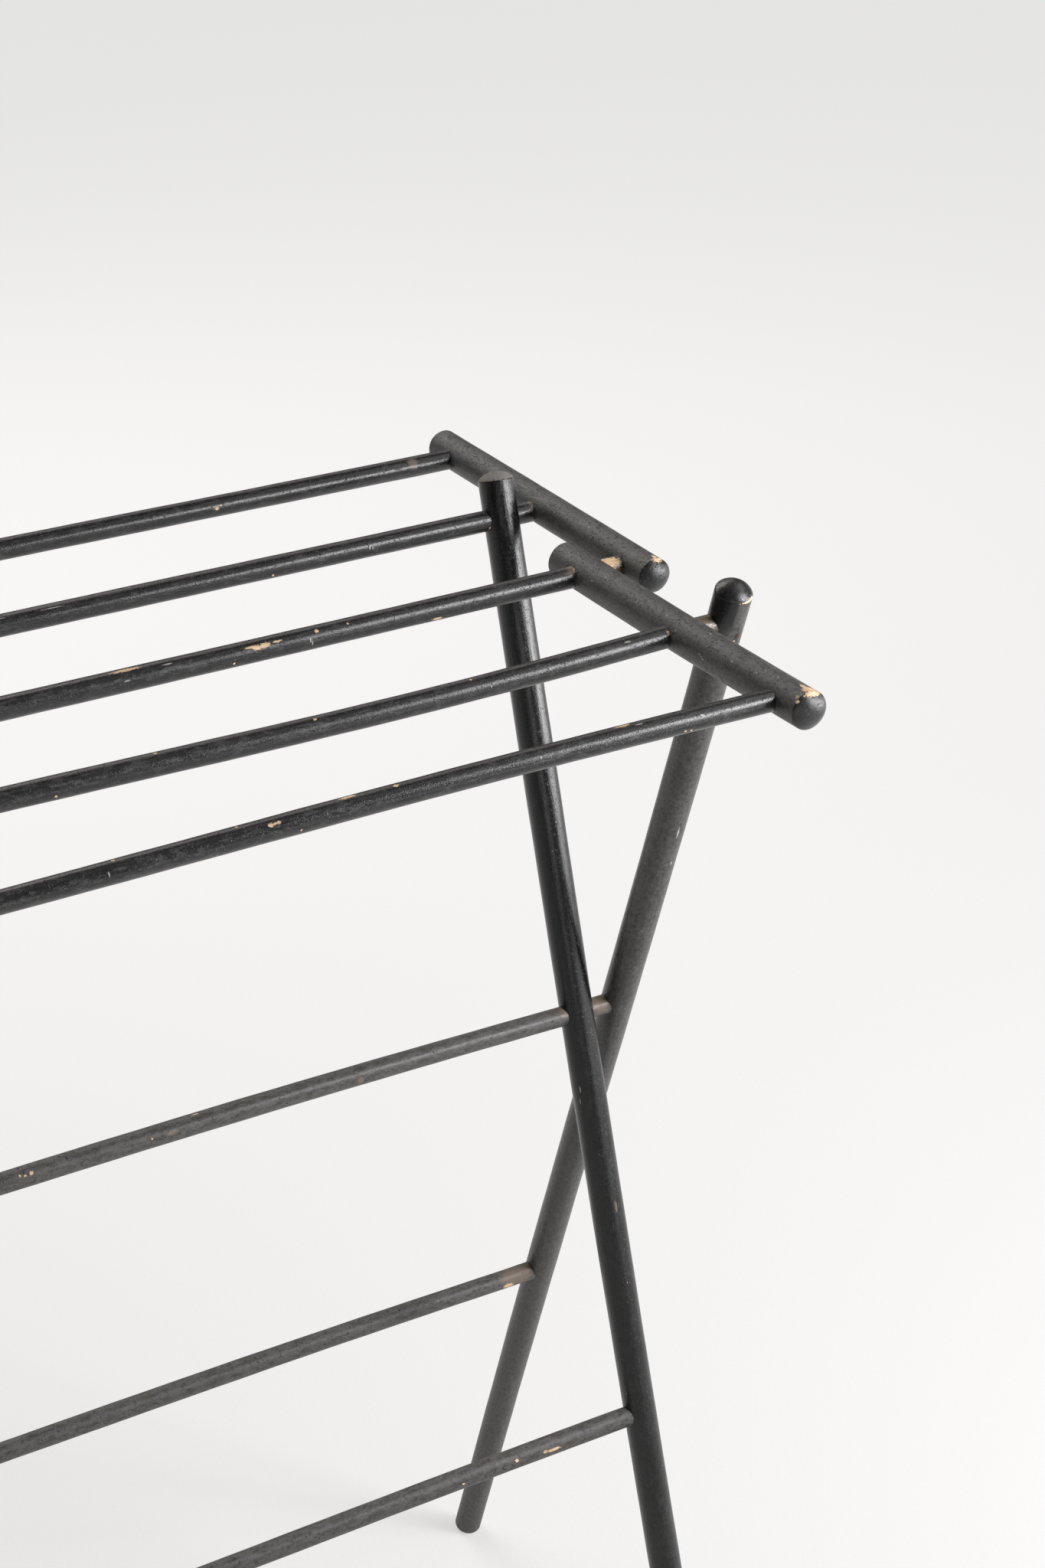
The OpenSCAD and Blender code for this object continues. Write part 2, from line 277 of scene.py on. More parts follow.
class Dowel:
    """A hand-made round dowel along its own Z.

    strays: how its axis strays in its own X and Y, in millimetres: at its low end, at its high end,
    in the middle, and one way and then the other.
    """

    def __init__(self, name, profile, sides, place, strays):
        self.name = name
        self.place = place
        rng = np.random.default_rng(NUMBER[name])
        along = np.array([p[0] for p in profile])
        share = np.array([p[1] for p in profile])
        self.rings, self.sides = len(along), sides
        self.along = np.repeat(along, sides)
        self.share = np.repeat(share, sides)
        self.angle = np.tile(np.linspace(0, 2 * math.pi, sides, endpoint=False), len(along))
        u = np.interp(self.along, span_of(name), (0, 1))
        self.radius = np.interp(u, (0, 1), RADII[name]) * MM + self.unevenness(rng)
        low_off, high_off, bow, skew = (np.array(s) * MM for s in strays)
        self.stray = np.outer(1 - u, low_off) + np.outer(u, high_off)
        self.stray += np.outer(np.sin(math.pi * u), bow) + np.outer(np.sin(2 * math.pi * u), skew)

    def unevenness(self, rng):
        """Dowels are a little out of round and waver along their length."""
        wobble = np.zeros_like(self.along)
        for lobes in LOBES:
            phase, twist = rng.uniform(0, 2 * math.pi), rng.uniform(-6, 6)
            wobble += LOBE_DEPTH * np.cos(lobes * self.angle + phase + twist * self.along)
        for wave in WAVES:
            wobble += WAVE_DEPTH * np.cos(wave * self.along + rng.uniform(0, 2 * math.pi))
        return wobble

    def points(self):
        """All the points on a straight axis, and again on the axis that strays."""
        radius = self.radius * self.share
        round_x = radius * np.cos(self.angle)
        round_y = radius * np.sin(self.angle)
        own = np.stack([round_x, round_y, self.along], axis=1)
        bent = own.copy()
        bent[:, :2] += self.stray
        return own, bent

    def with_tips(self, points):
        """The points, and after them the middle of each end."""
        first, last = points[: self.sides].mean(axis=0), points[-self.sides :].mean(axis=0)
        return np.concatenate([points, [first], [last]])

    def faces(self):
        s = self.sides
        faces = []
        for k in range(self.rings - 1):
            for i in range(s):
                j = (i + 1) % s
                faces.append((k * s + i, k * s + j, (k + 1) * s + j, (k + 1) * s + i))
        first, last, top = self.rings * s, self.rings * s + 1, (self.rings - 1) * s
        for i in range(s):
            j = (i + 1) % s
            faces.append((first, j, i))
            faces.append((last, top + i, top + j))
        return faces

    def radius_at(self, along):
        """The mean radius there."""
        return float(self.radius[np.abs(self.along - along) < BRAD_REACH].mean())

    def stray_at(self, along):
        """How far the axis has strayed there, in its own X and Y."""
        return self.stray[np.abs(self.along - along) < BRAD_REACH].mean(axis=0)

    def build(self, material, body, slot):
        """Make the painted piece, which replaces its CAD node."""
        own, bent = (self.with_tips(p) for p in self.points())
        turn = np.array(self.place)
        world = bent @ turn[:3, :3].T + turn[:3, 3]
        world[:, 2] = np.maximum(world[:, 2], 0)
        mesh = bpy.data.meshes.new(f"painted_{self.name}")
        mesh.from_pydata(world.tolist(), [], self.faces())
        mesh.shade_smooth()
        own[:, 2] += NUMBER[self.name]
        add_attribute(mesh, "dowel_co", "FLOAT_VECTOR", own)
        add_attribute(mesh, "dull_and_painted_light", "FLOAT", self.with_tips(dullness_and_painted_light(self.name, world[:-2], self.share)))
        mesh.materials.append(material)
        piece = bpy.data.objects.new(f"painted_{self.name}", mesh)
        bpy.context.scene.collection.objects.link(piece)
        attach(piece, body)
        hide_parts(self.name)


# ---- Material nodes ----


class Nodes:
    """Small helper that adds shader nodes and links them."""

    def __init__(self, name):
        self.material = bpy.data.materials.new(name)
        self.material.use_nodes = True
        self.tree = self.material.node_tree
        self.tree.nodes.clear()

    def add(self, kind, inputs=None, **settings):
        node = self.tree.nodes.new(kind)
        for key, value in settings.items():
            setattr(node, key, value)
        for key, value in (inputs or {}).items():
            self.give(node.inputs[key], value)
        return node

    def give(self, socket, value):
        if isinstance(value, bpy.types.NodeSocket):
            self.tree.links.new(value, socket)
        else:
            socket.default_value = value

    def attribute(self, name, output="Fac"):
        return self.add("ShaderNodeAttribute", attribute_name=name).outputs[output]

    def math(self, operation, a, b=0.0, c=0.0):
        node = self.add("ShaderNodeMath", operation=operation)
        for socket, value in zip(node.inputs, (a, b, c)):
            self.give(socket, value)
        return node.outputs[0]

    def vector(self, operation, a, b=(0.0, 0.0, 0.0), output="Vector"):
        node = self.add("ShaderNodeVectorMath", operation=operation)
        self.give(node.inputs[0], a)
        self.give(node.inputs[1], b)
        return node.outputs[output]

    def stretched(self, place, share):
        """The place with its own Z scaled, so that a noise there is drawn out along the dowel."""
        return self.vector("MULTIPLY", place, (1.0, 1.0, share))

    def noise(self, vector, scale, detail=4.0, roughness=0.55):
        inputs = {"Vector": vector, "Scale": scale, "Detail": detail, "Roughness": roughness}
        return self.add("ShaderNodeTexNoise", inputs).outputs["Fac"]

    def step(self, value, low, high, out_low=0.0, out_high=1.0):
        inputs = {"Value": value, "From Min": low, "From Max": high}
        inputs.update({"To Min": out_low, "To Max": out_high})
        node = self.add("ShaderNodeMapRange", inputs, interpolation_type="SMOOTHSTEP", clamp=True)
        return node.outputs["Result"]

    def mix(self, factor, a, b):
        """Colours where a is one, numbers otherwise."""
        kind = "RGBA" if isinstance(a, tuple) or getattr(a, "type", "") == "RGBA" else "FLOAT"
        node = self.add("ShaderNodeMix", data_type=kind)
        sockets = [s for s in node.inputs if s.enabled]
        for socket, value in zip(sockets, (factor, a, b)):
            self.give(socket, value)
        return next(s for s in node.outputs if s.enabled)

    def bump(self, height, distance, normal=None):
        inputs = {"Height": height, "Distance": distance, "Strength": 1.0}
        if normal is not None:
            inputs["Normal"] = normal
        return self.add("ShaderNodeBump", inputs).outputs["Normal"]

    def nearest(self, place, wear, names):
        """Distance to the nearest listed oval, as a share of its half size: 1 at its edge."""
        nearest = 9.0
        for name in names:
            for along, degrees, length, width in wear.get(name, []):
                radius = radius_near(name, along * MM)
                angle = math.radians(degrees)
                centre = (radius * math.cos(angle), radius * math.sin(angle), NUMBER[name] + along * MM)
                reach = (2 / (width * MM), 2 / (width * MM), 2 / (length * MM))
                away = self.vector("MULTIPLY", self.vector("SUBTRACT", place, centre), reach)
                nearest = self.math("MINIMUM", nearest, self.vector("LENGTH", away, output="Value"))
        return nearest

    def worn_and_painted_light(self, away, noise, fray, low, high):
        """1 on the ovals and 0 outside them, with an edge from low to high that the noise frays."""
        frayed = self.math("MULTIPLY_ADD", self.math("SUBTRACT", noise, 0.5), fray, away)
        return self.math("SUBTRACT", 1.0, self.step(frayed, low, high))

    def finish(self, color, roughness, normal):
        """Join everything in one shader."""
        shader = self.add("ShaderNodeBsdfPrincipled")
        self.give(shader.inputs["Base Color"], color)
        self.give(shader.inputs["Roughness"], roughness)
        self.give(shader.inputs["Normal"], normal)
        output = self.add("ShaderNodeOutputMaterial")
        self.tree.links.new(shader.outputs["BSDF"], output.inputs["Surface"])
        return shader


def grey(value, warmth=0.0):
    """A grey that turns redder and less blue with warmth."""
    return (value * (1 + warmth), value, value * (1 - warmth), 1.0)


DARK_WOOD, PALE_WOOD = (0.55, 0.36, 0.20, 1.0), (0.80, 0.60, 0.39, 1.0)
RUBBED_BROWN = (0.20, 0.15, 0.11, 1.0)
PALE_SPECK = (0.55, 0.5, 0.45, 1.0)
PALE_SCRATCH = (0.5, 0.47, 0.43, 1.0)
# Near black: the painted shade of hollow places
HOLLOW_SHADE_BLACK = (0.006, 0.005, 0.004, 1.0)
DARK_STEEL, RUST = (0.03, 0.027, 0.025, 1.0), (0.14, 0.055, 0.025, 1.0)


def smudge_mask(n, dull_and_painted_light, smudges, peel, mottling):
    """Greyer matte smudges, more of them where the paint is dull."""
    smudged = n.step(n.math("MULTIPLY_ADD", dull_and_painted_light, 0.12, smudges), 0.52, 0.64)
    return n.math("MULTIPLY", smudged, n.step(peel, 0.35, 0.6, 0.2 * mottling, mottling))


def hair_mask(n, fibres, ragged, mottling):
    """Hairlines along the grain, broken up."""
    off_line = n.math("ABSOLUTE", n.math("SUBTRACT", fibres, 0.47))
    hairs = n.math("SUBTRACT", 1.0, n.step(off_line, 0.0, 0.012))
    return n.math("MULTIPLY", hairs, n.step(ragged, 0.45, 0.6, 0.0, mottling))


def speck_mask(n, place):
    """Tiny specks of many sizes, in about one cell in eight."""
    cells = n.add("ShaderNodeTexVoronoi", {"Vector": place, "Scale": 210.0})
    pick = n.add("ShaderNodeSeparateColor", {"Color": cells.outputs["Color"]})
    size = n.step(pick.outputs["Red"], 0.88, 1.0, 0.0, 0.09)
    return n.math("LESS_THAN", cells.outputs["Distance"], size)


def dusty_film_and_painted_light(n, place, dull_and_painted_light, shade):
    """The paint's colour: black, and where it is matte mottled with grey dust, which towards the floor is
    also painted bounce light. Past 1 it turns pale grey: a painted highlight on the inner legs' domes.
    """
    clouds = n.noise(place, 60, 3.0, 0.6)
    mottle = n.noise(n.stretched(place, 0.7), 450, 6.0, 0.75)
    film = n.mix(n.step(clouds, 0.35, 0.65), grey(shade * 0.75, -0.03), grey(shade * 1.25))
    dust = n.mix(n.step(mottle, 0.38, 0.62), grey(0.042, 0.01), grey(0.125, 0.035))
    dust_and_painted_light = n.math("MULTIPLY", n.math("MINIMUM", dull_and_painted_light, 0.6), n.step(clouds, 0.2, 0.8, 0.7, 1.1))
    film = n.mix(dust_and_painted_light, film, dust)
    # Pale grey past 1: the painted highlight on the inner legs' domes
    film = n.mix(n.step(dull_and_painted_light, 1.0, 1.5), film, grey(0.26, 0.04))
    return n.mix(n.step(dull_and_painted_light, 0.57, 0.7, 0.0, 0.3), film, grey(0.055, 0.25))


def paint(name, dowels, shade, gloss, peel_depth, streak_depth, grit_depth, mottling):
    """Worn black paint on wooden dowels, whose grain runs along them. Depths in metres."""
    n = Nodes(name)
    place = n.attribute("dowel_co", "Vector")
    dull_and_painted_light = n.attribute("dull_and_painted_light")
    long_grain = n.stretched(place, 0.05)
    fibres = n.noise(long_grain, 1400, 3.0, 0.6)
    ridges = n.noise(long_grain, 430, 2.0, 0.5)
    smudges = n.noise(n.stretched(place, 0.35), 320, 4.0, 0.65)
    peel = n.noise(n.stretched(place, 0.8), 1000, 4.0, 0.75)
    ragged = n.noise(n.stretched(place, 0.5), 1500, 4.0, 0.7)
    grit = n.noise(place, 2300, 2.0, 0.6)
    pits = n.step(n.noise(place, 520, 3.0, 0.7), 0.34, 0.42)

    chips = n.worn_and_painted_light(n.nearest(place, BARE_WOOD, dowels), ragged, 2.6, 0.88, 0.98)
    scratches = n.worn_and_painted_light(n.nearest(place, SCRATCHES, dowels), ragged, 2.2, 0.7, 1.1)
    rubbed = n.worn_and_painted_light(n.nearest(place, RUBBED, dowels), smudges, 1.8, 0.5, 1.2)
    # Painted shade of hollow places: near black, with a frayed edge
    hollow_shade = n.worn_and_painted_light(n.nearest(place, PAINTED_HOLLOW_SHADE, dowels), ragged, 1.6, 0.8, 1.05)
    smudged = smudge_mask(n, dull_and_painted_light, smudges, peel, mottling)
    hairs = hair_mask(n, fibres, ragged, mottling)

    film = dusty_film_and_painted_light(n, place, dull_and_painted_light, shade)
    film = n.mix(n.math("MULTIPLY", smudged, 0.6), film, n.mix(dull_and_painted_light, grey(0.07, -0.02), grey(0.14, 0.02)))
    film = n.mix(n.math("MULTIPLY", hairs, 0.3), film, grey(0.16))
    film = n.mix(pits, grey(0.012), film)
    film = n.mix(n.math("MULTIPLY", rubbed, 0.7), film, RUBBED_BROWN)
    film = n.mix(n.math("MULTIPLY", speck_mask(n, place), 0.6), film, PALE_SPECK)
    film = n.mix(n.math("MULTIPLY", scratches, 0.75), film, PALE_SCRATCH)
    wood = n.mix(n.step(fibres, 0.35, 0.6), DARK_WOOD, PALE_WOOD)
    # Bare wood where the paint is chipped, and painted shade of hollow places over both
    color = n.mix(hollow_shade, n.mix(chips, film, wood), HOLLOW_SHADE_BLACK)

    rough = n.step(grit, 0.3, 0.7, gloss - 0.04, gloss + 0.06)
    rough = n.math("MULTIPLY_ADD", smudged, 0.12, rough)
    rough = n.math("MULTIPLY_ADD", dull_and_painted_light, 0.14, rough)
    rough = n.math("ADD", rough, n.step(dull_and_painted_light, 0.6, 1.0, 0.0, 0.2))
    rough = n.mix(n.math("MAXIMUM", chips, n.math("MULTIPLY", scratches, 0.6)), rough, 0.7)

    normal = n.bump(n.math("MULTIPLY_ADD", ridges, 0.8, fibres), streak_depth)
    normal = n.bump(peel, peel_depth, normal)
    normal = n.bump(n.math("MULTIPLY_ADD", pits, 2.0, grit), grit_depth, normal)
    n.finish(color, rough, normal)
    return n.material


def rusty_steel(name):
    """Old brad heads, dark with rust."""
    n = Nodes(name)
    place = n.add("ShaderNodeTexCoord").outputs["Object"]
    rust = n.step(n.noise(place, 1500, 5.0, 0.65), 0.4, 0.62)
    pits = n.noise(place, 4000, 3.0, 0.6)
    color = n.mix(rust, DARK_STEEL, RUST)
    shader = n.finish(color, n.mix(rust, 0.38, 0.8), n.bump(pits, 0.00008))
    shader.inputs["Metallic"].default_value = 0.6
    return n.material


# ---- The dowels ----

# Height of the low and the high dome, in millimetres
DOME_MM = (4.6, 4.8)
DOMES = {"leg_outer_right": (5.0, 5.8), "rail_front_right": (5.2, 4.6), "leg_outer_left": (4.8, 5.4)}
STRAIGHT = ((0, 0), (0, 0), (0, 0), (0, 0))
# How each axis strays, in millimetres: at the low end, at the high end, in the middle, and skewed
STRAYS = {
    "leg_inner_right": ((1.5, 0), (0.6, -1.2), (-2.5, 0), (0, 0)),
    "leg_outer_right": ((1.3, 0), (-0.8, 0), (-0.4, 0), (-0.6, 0)),
    "leg_inner_left": ((-0.8, 0), (0.5, -1.2), (1.5, 0), (0, 0)),
    "leg_outer_left": ((0.5, 0), (0.6, 0), (-1.0, 0), (0.4, 0)),
    "rail_back_right": ((1.6, 0), (1.8, 0), (0.4, 0), (0, 0)),
    "rail_front_right": ((0, -0.8), (-0.8, 0.8), (-1.2, 0), (0, 0)),
    "rod_back": ((0, 0), (0, -0.2), (0, 2.0), (0, 0.4)),
    "rod_back_pivot": ((0, 0), (0, -0.8), (0, 0.8), (0, 0.1)),
    "rod_middle": ((0, 0), (0, -0.6), (0, 0.1), (0, 0.2)),
    "rod_front_pivot": ((0, 0), (0, 0.2), (0, -1.9), (0, 1.8)),
    "rod_front": ((0, 0), (0, 0.7), (0, 1.7), (0, -0.7)),
    "rod_scissor": ((0, 0), (0, -0.2), (0, 3.4), (0, -0.3)),
    "stretcher_front": ((0, 0), (0, -0.9), (0, -0.9), (0, -0.9)),
    "stretcher_rear": ((0, 0), (0, -0.9), (0, 0.5), (0, -0.9)),
}
ROD_BODY = {
    "rod_back": "back_rack", "rod_back_pivot": "back_rack", "rod_middle": "front_rack",
    "rod_front_pivot": "outer_legs", "rod_front": "front_rack", "rod_scissor": "outer_legs",
    "stretcher_front": "inner_legs", "stretcher_rear": "outer_legs",
}
# How dusty and matte the paint has become on the dowels and on their domes: 0 is still glossy. Past 1 it
# turns pale grey, which on the inner legs' domes is a painted highlight
DULLNESS = {"leg_inner": 0.0, "leg_outer": 0.58, "rail": 0.57, "rod_scissor": 0.66, "stretcher": 0.66}
DOME_DULLNESS_AND_HIGHLIGHT = {"leg_inner": 1.4, "leg_outer": 0.2, "rail": -0.9}
# It grows evenly from a height down to the floor, and on the rods also to the left, over a stretch of X.
# Towards the floor the paler paint is also painted bounce light from the floor
FLOOR_DUST_AND_BOUNCE, FLOOR_DUST_AND_BOUNCE_TOP = 0.25, 0.6
LEFT_DULLNESS, LEFT_DULLNESS_START, LEFT_DULLNESS_STRETCH = 0.12, 0.1, 0.2
# The inner side of leg_outer_right's top is glossier and darker by a gain, from a height and after a
# short fade:
# the darker paint is painted shade beside the front rail. That side starts a little inside the leg's
# middle.
GLOSSY_SHADED_TOP, GLOSSY_SHADED_TOP_FADE, GLOSSY_SHADED_TOP_GAIN = 0.84, 0.01, 0.6
INNER_SIDE = 4 * MM
# On the real rack the middle rod turns inside the back rails, so it is longer than the CAD's
MIDDLE_ROD_HALF = OUTER_X - 4 * MM


def leg_place(side, x, lean):
    """A leg's own Z runs up along it from the scissor rod, and its own X along the frame's X."""
    return Matrix.Translation((side * x, SCISSOR.y, SCISSOR.z)) @ Matrix.Rotation(-lean, 4, "X")


def rail_place(side, x):
    """A rail's own Z runs along the frame's Y, and its own X along the frame's X."""
    return Matrix.Translation((side * x, 0, BACK_PIVOT.z)) @ Matrix.Rotation(-math.pi / 2, 4, "X")


def rod_place(node):
    """A rod's own Z runs along the frame's X, its own X points to the front and its own Y up."""
    centre = middle_of(node)
    turn = Matrix(((0, 0, 1, 0), (-1, 0, 0, 0), (0, 1, 0, 0), (0, 0, 0, 1)))
    return Matrix.Translation((0, centre.y, centre.z)) @ turn


def dullness_and_painted_light(name, world, share):
    """How matte each point of a dowel is. The number also paints light and shade: paler paint towards the
    floor for its bounce light, pale inner-leg domes for a highlight, and darker paint on
    leg_outer_right's inner top for shade beside the front rail. Its share of the radius tells whether it
    is on a dome.
    """
    base = next((v for key, v in DULLNESS.items() if name.startswith(key)), 0.0)
    dome = next((v for key, v in DOME_DULLNESS_AND_HIGHLIGHT.items() if name.startswith(key)), base)
    x, z = world[:, 0], world[:, 2]
    # Dustier and paler towards the floor: dust, and painted bounce light from the floor
    worn_and_painted_light = base + FLOOR_DUST_AND_BOUNCE * np.clip((FLOOR_DUST_AND_BOUNCE_TOP - z) / FLOOR_DUST_AND_BOUNCE_TOP, 0, 1)
    if name.startswith("rod"):
        worn_and_painted_light = worn_and_painted_light + LEFT_DULLNESS * np.clip((LEFT_DULLNESS_START - x) / LEFT_DULLNESS_STRETCH, 0, 1)
    # Painted shade beside the front rail, on glossier paint
    if name == "leg_outer_right":
        glossy_shade = np.clip((z - GLOSSY_SHADED_TOP) / GLOSSY_SHADED_TOP_FADE, 0, 1) * (x < OUTER_X - INNER_SIDE)
        worn_and_painted_light = worn_and_painted_light - GLOSSY_SHADED_TOP_GAIN * glossy_shade
    return np.where(share < 0.999, dome, worn_and_painted_light)


def make_leg(name, side, x, lean):
    profile = domed_profile(-LEG_DOWN, LEG_UP, LEG_R, LEG_STEP, DOMES.get(name, DOME_MM))
    return Dowel(name, profile, LEG_SIDES, leg_place(side, x, lean), STRAYS.get(name, STRAIGHT))


def make_rail(name, side, x):
    low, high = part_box(name)
    profile = domed_profile(low.y, high.y, RAIL_R, RAIL_STEP, DOMES.get(name, DOME_MM))
    return Dowel(name, profile, RAIL_SIDES, rail_place(side, x), STRAYS.get(name, STRAIGHT))


def make_rod(name):
    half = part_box(name)[1].x
    if name == "rod_middle":
        half = MIDDLE_ROD_HALF
    profile = plain_profile(-half, half, ROD_R, ROD_STEP)
    return Dowel(name, profile, ROD_SIDES, rod_place(name), STRAYS.get(name, STRAIGHT))


def build_dowels(materials):
    """Build all the dowels and return them by name."""
    dowels = {}
    for side, word in ((1, "right"), (-1, "left")):
        for kind, x, lean in (("inner", INNER_X, LEAN), ("outer", OUTER_X, -LEAN)):
            leg = make_leg(f"leg_{kind}_{word}", side, x, lean)
            leg.build(materials["leg_paint"], f"{kind}_legs", "leg_paint")
            dowels[leg.name] = leg
        for kind, x in (("back", OUTER_X), ("front", INNER_X)):
            rail = make_rail(f"rail_{kind}_{word}", side, x)
            rail.build(materials["rail_paint"], f"{kind}_rack", "rail_paint")
            dowels[rail.name] = rail
    for name, body in ROD_BODY.items():
        dowels[name] = make_rod(name)
        dowels[name].build(materials["rod_paint"], body, "rod_paint")
    return dowels


# ---- Brad heads ----

# By the rod they hold: the kind of dowel they are in, and the body they move with
BRADS = {
    "rod_back": ("rail_back", "back_rack"), "rod_back_pivot": ("rail_back", "back_rack"),
    "rod_middle": ("rail_front", "front_rack"), "rod_front": ("rail_front", "front_rack"),
    "rod_front_pivot": ("leg_outer", "outer_legs"), "rod_scissor": ("leg_outer", "outer_legs"),
    "stretcher_front": ("leg_inner", "inner_legs"), "stretcher_rear": ("leg_outer", "outer_legs"),
}
# The angle they sit at: under a rail and behind a leg. The front ones also sit a little below their rod.
BRAD_ANGLE = 90
FRONT_BRAD_ANGLE = {"right": -78, "left": -102}
FRONT_BRAD_DROP = 2 * MM
BRAD_R = 1.5 * MM
BRAD_SIDES = 24
# (lift above the painted surface in mm, share of the radius) of a head's rings, and its tip's lift
BRAD_RINGS = ((-1.2, 1.0), (-0.15, 1.0), (0.08, 0.94), (0.2, 0.7), (0.27, 0.35))
BRAD_TIP = 0.22 * MM
# How uneven a head is, and how far it is from round, as a share of its radius
BRAD_DENTS = 0.04 * MM
BRAD_OVAL = 0.04


def brad_head(mesh, dowel, along, degrees, seed):
    """A round head, slightly domed and dented, on the dowel's surface."""
    rng = np.random.default_rng(seed)
    axis = Matrix.Translation((*dowel.stray_at(along), along))
    turn = Matrix(dowel.place) @ axis @ Matrix.Rotation(math.radians(degrees), 4, "Z")
    surface = dowel.radius_at(along)
    start = len(mesh.verts)
    for lift, share in BRAD_RINGS:
        for i in range(BRAD_SIDES):
            angle = 2 * math.pi * i / BRAD_SIDES
            reach = BRAD_R * share * (1 + BRAD_OVAL * math.cos(2 * angle + seed))
            out = surface + lift * MM + BRAD_DENTS * rng.uniform(-1, 1)
            mesh.verts.new(turn @ Vector((out, reach * math.cos(angle), reach * math.sin(angle))))
    mesh.verts.new(turn @ Vector((surface + BRAD_TIP, 0, 0)))
    mesh.verts.ensure_lookup_table()
    for k in range(len(BRAD_RINGS) - 1):
        a = start + k * BRAD_SIDES
        b = a + BRAD_SIDES
        for i in range(BRAD_SIDES):
            j = (i + 1) % BRAD_SIDES
            mesh.faces.new([mesh.verts[v] for v in (a + i, a + j, b + j, b + i)])
    tip = start + len(BRAD_RINGS) * BRAD_SIDES
    last = tip - BRAD_SIDES
    for i in range(BRAD_SIDES):
        mesh.faces.new([mesh.verts[v] for v in (last + i, last + (i + 1) % BRAD_SIDES, tip)])


def brad_spot(rod, host, word):
    """Where the brad sits along its dowel, and at which angle."""
    centre = middle_of(rod)
    if host.startswith("rail"):
        return centre.y, BRAD_ANGLE
    along = (centre.z - SCISSOR.z) / math.cos(LEAN)
    if rod == "rod_front_pivot":
        return along - FRONT_BRAD_DROP, FRONT_BRAD_ANGLE[word]
    return along, BRAD_ANGLE


def build_brads(material, dowels):
    """The two brad heads of each rod, as one piece that replaces the two CAD brads."""
    for k, (rod, (host, body)) in enumerate(BRADS.items()):
        mesh = bmesh.new()
        for word, seed in (("right", 2 * k + 1), ("left", 2 * k)):
            along, degrees = brad_spot(rod, host, word)
            brad_head(mesh, dowels[f"{host}_{word}"], along, degrees, seed)
        data = bpy.data.meshes.new(f"brad_heads_{rod}")
        mesh.to_mesh(data)
        mesh.free()
        data.shade_smooth()
        data.materials.append(material)
        piece = bpy.data.objects.new(f"brad_heads_{rod}", data)
        bpy.context.scene.collection.objects.link(piece)
        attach(piece, body)
        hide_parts(f"brads_{rod}")


def named(start):
    """The dowels whose names start so."""
    return [name for name in DOWEL_NAMES if name.startswith(start)]


MATERIALS = {
    "rod_paint": paint(
        "rod_paint", named("rod") + named("stretcher"), shade=0.010, gloss=0.24,
        peel_depth=0.00009, streak_depth=0.000015, grit_depth=0.00004, mottling=1.0,
    ),
    "leg_paint": paint(
        "leg_paint", named("leg"), shade=0.0025, gloss=0.24,
        peel_depth=0.00004, streak_depth=0.00012, grit_depth=0.00003, mottling=0.25,
    ),
    "rail_paint": paint(
        "rail_paint", named("rail"), shade=0.016, gloss=0.34,
        peel_depth=0.00014, streak_depth=0.00005, grit_depth=0.00012, mottling=1.0,
    ),
    "brad_steel": rusty_steel("brad_steel"),
}
build_brads(MATERIALS["brad_steel"], build_dowels(MATERIALS))

# ---- Stage: a pale floor, soft lights and the camera ----

# The middle of what the camera sees, which the lights are aimed at
CENTRE = Vector((0.2, 0, 0.8))
# Half the side of the square floor
FLOOR_HALF = 30.0
FLOOR_COLOR, FLOOR_GLOW_COLOR = (0.37, 0.367, 0.361, 1.0), (1.0, 0.997, 0.988, 1.0)
# Its glow grows around this spot: from one distance to another, and from one level to another
FLOOR_MIDDLE = (-0.5, -0.85, 0.0)
FLOOR_GLOW = (0.2, 4.0, 0.45, 0.76)
# How bright the room is as a light, and as the camera sees it
ROOM_LEVEL, ROOM_LEVEL_SEEN = 0.03, 0.85
ROOM_COLOR = (1.0, 0.995, 0.985, 1.0)
NEUTRAL, WARM = (1.0, 0.985, 1.0), (1.0, 0.96, 0.91)
# Each softbox: azimuth (0 is front, 90 right), elevation, distance, width, height, radiance, colour
SOFTBOXES = {
    "key": (37, 23, 1.0, 0.25, 0.36, 30.0, NEUTRAL),
    "key_low": (52, 4, 1.6, 0.5, 0.34, 24.0, NEUTRAL),
    "right_low": (72, -4, 1.6, 0.7, 0.34, 9.0, NEUTRAL),
    "front_left": (-20, 5, 1.6, 0.45, 0.34, 3.8, NEUTRAL),
    "front_low": (28, -8, 1.6, 0.8, 0.34, 1.8, NEUTRAL),
    "right_high": (78, 48, 1.6, 1.3, 0.35, 3.2, NEUTRAL),
    "back": (195, 28, 2.8, 2.4, 0.9, 3.8, WARM),
    "back_high": (180, 48, 2.8, 1.2, 0.9, 5.2, WARM),
    "back_right": (150, 36, 2.8, 1.1, 1.6, 1.2, WARM),
    "top": (60, 68, 2.2, 0.9, 0.9, 0.6, NEUTRAL),
}

# The camera's place, its angles in degrees, and its lens and sensor in millimetres
CAMERA_PLACE = Vector((-0.6917, -1.5215, 1.6147))
HEADING, TILT_DOWN, ROLL = 31.94, 26.60, 0.78
LENS, SENSOR_WIDTH = 76.92, 36


def make_floor():
    """A pale floor that glows a little, so that it stays pale between its soft shadows."""
    mesh = bpy.data.meshes.new("floor")
    corners = [(x * FLOOR_HALF, y * FLOOR_HALF, 0) for x, y in ((-1, -1), (1, -1), (1, 1), (-1, 1))]
    mesh.from_pydata(corners, [], [(0, 1, 2, 3)])
    floor = bpy.data.objects.new("floor", mesh)
    bpy.context.scene.collection.objects.link(floor)
    n = Nodes("floor_paper")
    place = n.add("ShaderNodeTexCoord").outputs["Object"]
    away = n.vector("DISTANCE", place, FLOOR_MIDDLE, output="Value")
    shader = n.finish(FLOOR_COLOR, 0.9, n.bump(n.noise(place, 300, 2.0), 0.0002))
    n.give(shader.inputs["Emission Color"], FLOOR_GLOW_COLOR)
    n.give(shader.inputs["Emission Strength"], n.step(away, *FLOOR_GLOW))
    mesh.materials.append(n.material)


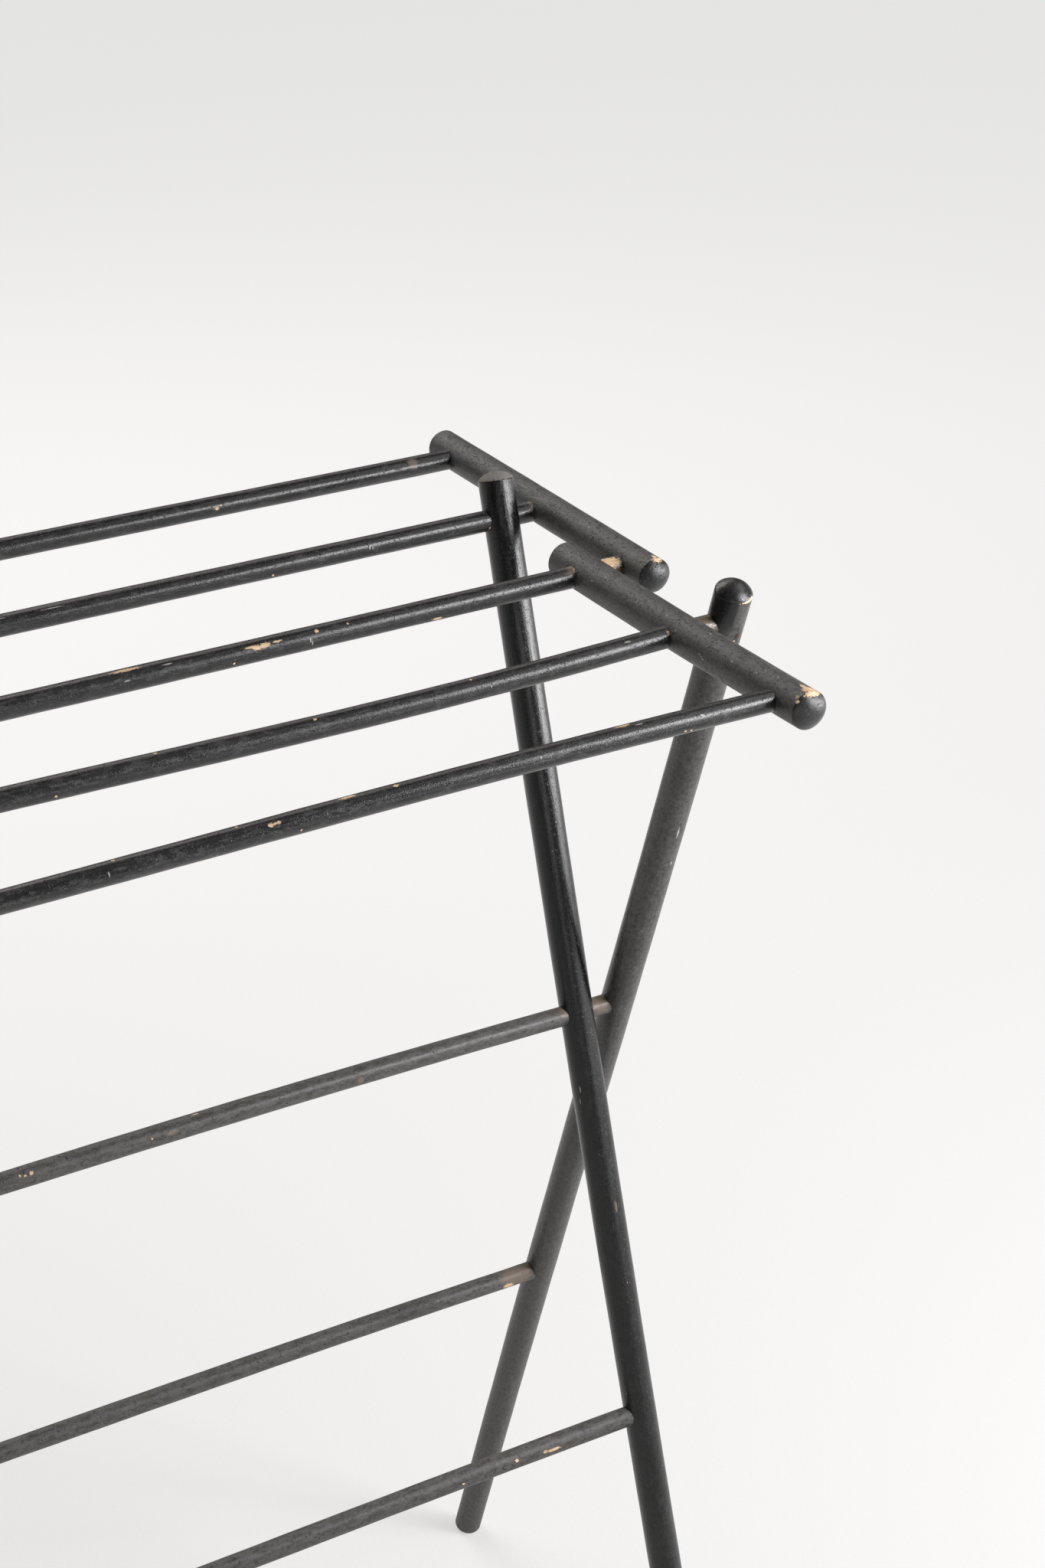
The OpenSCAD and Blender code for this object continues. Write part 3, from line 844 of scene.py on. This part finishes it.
def make_softbox(name, azimuth, elevation, distance, width, height, radiance, color):
    """A rectangular light that faces the centre, and that the camera doesn't see."""
    turn, lift = math.radians(azimuth), math.radians(elevation)
    away = Vector((math.sin(turn) * math.cos(lift), -math.cos(turn) * math.cos(lift), math.sin(lift)))
    light = bpy.data.lights.new(name, "AREA")
    light.shape = "RECTANGLE"
    light.size, light.size_y = width, height
    light.energy = radiance * math.pi * width * height
    light.color = color
    lamp = bpy.data.objects.new(name, light)
    lamp.location = CENTRE + away * distance
    lamp.rotation_euler = (-away).to_track_quat("-Z", "Y").to_euler()
    lamp.visible_camera = False
    bpy.context.scene.collection.objects.link(lamp)


def make_world():
    """A dim even room, that the camera sees as pale as the floor."""
    world = bpy.data.worlds.new("studio")
    world.use_nodes = True
    tree = world.node_tree
    background = tree.nodes["Background"]
    seen = tree.nodes.new("ShaderNodeMapRange")
    seen.inputs["To Min"].default_value = ROOM_LEVEL
    seen.inputs["To Max"].default_value = ROOM_LEVEL_SEEN
    tree.links.new(tree.nodes.new("ShaderNodeLightPath").outputs["Is Camera Ray"], seen.inputs["Value"])
    background.inputs["Color"].default_value = ROOM_COLOR
    tree.links.new(seen.outputs["Result"], background.inputs["Strength"])
    bpy.context.scene.world = world


def make_camera():
    """The photo's viewing angle."""
    data = bpy.data.cameras.new("camera")
    data.sensor_width = SENSOR_WIDTH
    data.lens = LENS
    data.clip_start, data.clip_end = 0.05, 100
    camera = bpy.data.objects.new("camera", data)
    heading = Matrix.Rotation(math.radians(-HEADING), 4, "Z")
    tilt = Matrix.Rotation(math.radians(90 - TILT_DOWN), 4, "X")
    roll = Matrix.Rotation(math.radians(ROLL), 4, "Z")
    camera.matrix_world = Matrix.Translation(CAMERA_PLACE) @ heading @ tilt @ roll
    bpy.context.scene.collection.objects.link(camera)
    bpy.context.scene.camera = camera


make_floor()
make_world()
for name, numbers in SOFTBOXES.items():
    make_softbox(name, *numbers)
make_camera()
bpy.context.scene.view_settings.view_transform = "Standard"
